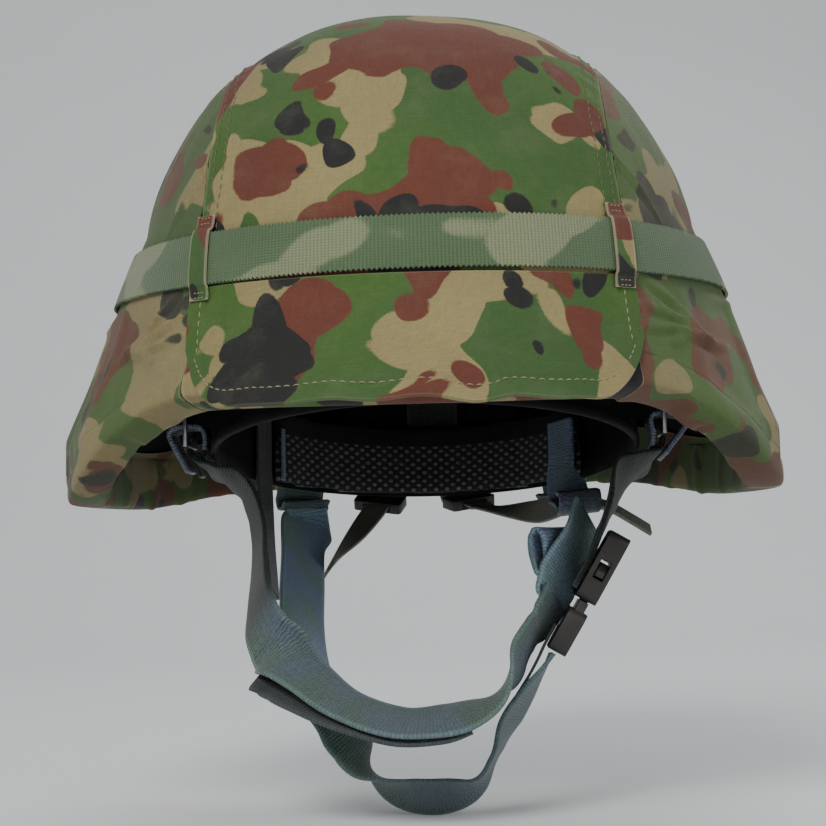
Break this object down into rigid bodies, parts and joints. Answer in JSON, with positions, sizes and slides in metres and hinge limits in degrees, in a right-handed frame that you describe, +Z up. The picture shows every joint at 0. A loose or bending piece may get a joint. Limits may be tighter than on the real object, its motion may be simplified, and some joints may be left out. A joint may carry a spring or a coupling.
{
  "type": "combat helmet",
  "caption": "Cloth-covered combat helmet with flared ears, elastic cover band, webbing liner and a chin harness with a side-release buckle.",
  "frame": {"origin": "middle of the headband ring, where the head sits", "axes": "+Z up towards the crown, -Y forwards through the brow, +X towards the wearer's left"},
  "size_m": [0.2516, 0.2881, 0.2804],
  "materials": {
    "shell_composite": "moulded fibre composite, painted, slightly rough",
    "rim_rubber": "matt black rubber",
    "cover_cloth": "plain-weave cotton and nylon cloth with a woodland blotch print",
    "elastic": "woven elastic, grey-green with pale flecks",
    "fixings": "black oxide steel",
    "bracket_steel": "blackened spring steel, worn bright on its edges",
    "liner_plastic": "moulded black plastic",
    "liner_mesh": "charcoal spacer mesh with a bound edge",
    "liner_leather": "thin dark leather",
    "crown_webbing": "smooth dark webbing",
    "webbing": "ribbed blue-green nylon webbing",
    "tail_webbing": "ribbed pale blue-grey nylon webbing",
    "buckle_plastic": "dark brown-grey moulded plastic"
  },
  "bodies": {
    "shell": {"ballistic_shell": "shell_composite", "rim_trim": "rim_rubber", "cover_centre_panel": "cover_cloth", "cover_side_panel_left": "cover_cloth", "cover_side_panel_right": "cover_cloth", "brow_flap": "cover_cloth", "elastic_band": "elastic", "band_loops": "cover_cloth", "shell_screws": "fixings", "screw_nuts": "fixings", "side_brackets": "bracket_steel", "headband": "liner_plastic", "headband_pad_rear": "liner_mesh", "headband_pad_front": "liner_leather", "liner_drop_strap": "crown_webbing", "suspension_hangers": "liner_plastic", "crown_strap_middle": "crown_webbing", "crown_strap_cross_left": "crown_webbing", "crown_strap_cross_right": "crown_webbing", "crown_patch": "liner_leather", "rear_anchor_loops": "webbing", "rear_strap_left": "webbing", "rear_strap_right": "webbing", "nape_strap_left": "webbing", "nape_strap_right": "webbing"},
    "slider_left": {"nape_slider_left": "buckle_plastic"},
    "slider_right": {"nape_slider_right": "buckle_plastic"},
    "harness": {"side_plate_left": "bracket_steel", "side_plate_right": "bracket_steel", "hanger_loop_left": "webbing", "hanger_loop_right": "webbing", "front_strap_left": "webbing", "front_strap_right": "webbing", "strap_fold_left": "webbing", "buckle_backing": "webbing", "backing_loop": "webbing", "buckle_female": "buckle_plastic", "upper_chin_strap": "webbing", "chin_strap_tail": "webbing", "lower_chin_strap": "webbing"},
    "buckle_tongue": {"buckle_male": "buckle_plastic", "strap_tail_left": "tail_webbing"},
    "latch_front": {"buckle_latch_front": "buckle_plastic"},
    "latch_rear": {"buckle_latch_rear": "buckle_plastic"}
  },
  "joints": [
    {"name": "harness_swing", "type": "hinge", "parent": "shell", "child": "harness", "pos_m": [0, 0, 0.011], "axis": [1, 0, 0], "range_deg": [-8, 12], "deforming": ["rear_strap_left", "rear_strap_right"]},
    {"name": "buckle_release", "type": "slide", "parent": "harness", "child": "buckle_tongue", "axis": [-0.5102, 0, -0.8601], "range_m": [0, 0.03], "deforming": ["lower_chin_strap"]},
    {"name": "latch_front_squeeze", "type": "hinge", "parent": "buckle_tongue", "child": "latch_front", "pos_m": [0.05354, -0.04645, -0.06635], "axis": [-0.8601, 0, 0.5102], "range_deg": [0, 8], "stiffness_Nm_per_rad": 0.2, "deforming": ["buckle_latch_front"]},
    {"name": "latch_rear_squeeze", "type": "hinge", "parent": "buckle_tongue", "child": "latch_rear", "pos_m": [0.05354, -0.02955, -0.06635], "axis": [0.8601, 0, -0.5102], "range_deg": [0, 8], "stiffness_Nm_per_rad": 0.2, "deforming": ["buckle_latch_rear"]},
    {"name": "nape_slider_left_slide", "type": "slide", "parent": "shell", "child": "slider_left", "axis": [0.5337, -0.8183, -0.2135], "range_m": [0, 0.007]},
    {"name": "nape_slider_right_slide", "type": "slide", "parent": "shell", "child": "slider_right", "axis": [-0.2913, -0.8449, -0.4487], "range_m": [0, 0.007]}
  ],
  "couplings": [
    {"joint": "latch_rear_squeeze", "follows": "latch_front_squeeze", "ratio": 1}
  ]
}
